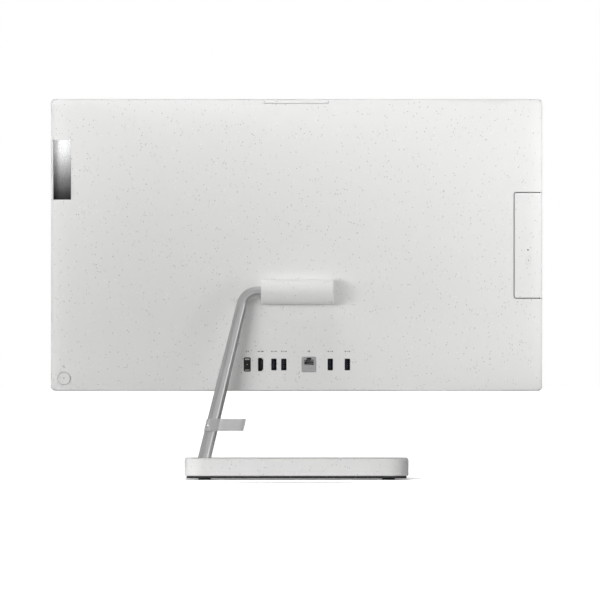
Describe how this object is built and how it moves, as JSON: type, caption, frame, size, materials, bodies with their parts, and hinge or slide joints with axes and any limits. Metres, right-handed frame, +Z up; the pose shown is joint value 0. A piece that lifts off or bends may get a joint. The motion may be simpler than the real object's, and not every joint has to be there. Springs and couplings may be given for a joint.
{
  "type": "all in one pc",
  "caption": "All-in-one desktop computer on a leaning metal arm and a rounded box base, with a tilting screen, pop-up camera and side optical drive.",
  "frame": {"origin": "centre of the base's footprint, on the desk", "axes": "+Z up, screen faces -Y, ports face +Y, optical drive at -X"},
  "size_m": [0.6174, 0.21, 0.478],
  "materials": {
    "speckled_white": "fine matte, warm white with small grey and white specks",
    "arm_metal": "satin, brushed lengthways",
    "polished_metal": "polished",
    "clip_plastic": "smooth translucent grey",
    "foot_rubber": "matt black",
    "black_plastic": "matt black",
    "steel": "plain sheet and turned steel",
    "ballast_steel": "bare cast plate",
    "screen_glass": "black behind clear gloss",
    "backlight_tray": "satin grey",
    "speaker_mesh": "dark grey, finely perforated",
    "port_metal": "bright plated sheet",
    "circuit_board": "green solder mask",
    "chip_lid": "matt nickel",
    "copper": "bare copper",
    "fin_aluminium": "bare sheet",
    "window_glass": "dark gloss",
    "lens_glass": "coated glass"
  },
  "bodies": {
    "stand": {"base_shell": "speckled_white", "base_plate": "black_plastic", "base_weight": "ballast_steel", "rubber_foot_1": "foot_rubber", "rubber_foot_2": "foot_rubber", "rubber_foot_3": "foot_rubber", "rubber_foot_4": "foot_rubber", "arm_socket": "steel", "socket_screw_1": "steel", "socket_screw_2": "steel", "arm": "arm_metal", "hinge_shaft": "steel", "thrust_washer": "steel", "shaft_nut": "steel"},
    "clip": {"cable_clip": "clip_plastic"},
    "display": {"front_frame": "speckled_white", "speaker_bar": "speaker_mesh", "display_glass": "screen_glass", "backlight_unit": "backlight_tray", "chassis_plate": "steel", "rear_cover": "speckled_white", "badge_plate": "polished_metal", "hinge_cover": "speckled_white", "hinge_bracket": "steel", "friction_barrel": "steel", "power_switch": "black_plastic", "camera_guide": "black_plastic", "dc_inlet": "black_plastic", "hdmi_port": "port_metal", "usb_port_1": "port_metal", "usb_port_2": "port_metal", "usb_port_3": "port_metal", "usb_port_4": "port_metal", "network_port": "port_metal", "mainboard": "circuit_board", "processor": "chip_lid", "cpu_heatsink": "copper", "heat_pipe": "copper", "fin_stack": "fin_aluminium", "blower_housing": "black_plastic", "memory_module_1": "circuit_board", "memory_module_2": "circuit_board", "solid_state_drive": "black_plastic", "wireless_card": "circuit_board", "hard_drive": "fin_aluminium", "hard_drive_bracket": "steel", "speaker_left": "black_plastic", "speaker_right": "black_plastic", "drive_case": "steel"},
    "power_cap": {"power_button": "speckled_white"},
    "camera": {"camera_housing": "speckled_white", "camera_window": "window_glass", "camera_lens": "lens_glass"},
    "fan": {"fan_impeller": "black_plastic"},
    "tray": {"drive_tray": "black_plastic", "drive_bezel": "speckled_white"},
    "spindle": {"disc_spindle": "black_plastic"},
    "sled": {"pickup_sled": "steel"},
    "eject_cap": {"eject_button": "speckled_white"}
  },
  "joints": [
    {"name": "panel_tilt", "type": "hinge", "parent": "stand", "child": "display", "pos_m": [0, 0.0365, 0.2355], "axis": [-1, 0, 0], "range_deg": [-5, 20]},
    {"name": "camera_rise", "type": "slide", "parent": "display", "child": "camera", "axis": [0, 0, 1], "range_m": [0, 0.0205]},
    {"name": "tray_slide", "type": "slide", "parent": "display", "child": "tray", "axis": [-1, 0, 0], "range_m": [0, 0.118]},
    {"name": "eject_press", "type": "slide", "parent": "tray", "child": "eject_cap", "axis": [0, -1, 0], "range_m": [0, 0.0008], "stiffness_N_per_m": 600},
    {"name": "power_press", "type": "slide", "parent": "display", "child": "power_cap", "axis": [0, -1, 0], "range_m": [0, 0.0008], "stiffness_N_per_m": 600},
    {"name": "disc_spin", "type": "hinge", "parent": "tray", "child": "spindle", "pos_m": [-0.24, 0, 0.2942], "axis": [0, 1, 0], "continuous": true},
    {"name": "pickup_travel", "type": "slide", "parent": "tray", "child": "sled", "axis": [0, 0, -1], "range_m": [0, 0.018]},
    {"name": "fan_spin", "type": "hinge", "parent": "display", "child": "fan", "pos_m": [-0.12, 0.002, 0.41], "axis": [0, 1, 0], "continuous": true},
    {"name": "clip_slide", "type": "slide", "parent": "stand", "child": "clip", "axis": [-0.2364, -0.0997, 0.9665], "range_m": [0, 0.04]}
  ]
}
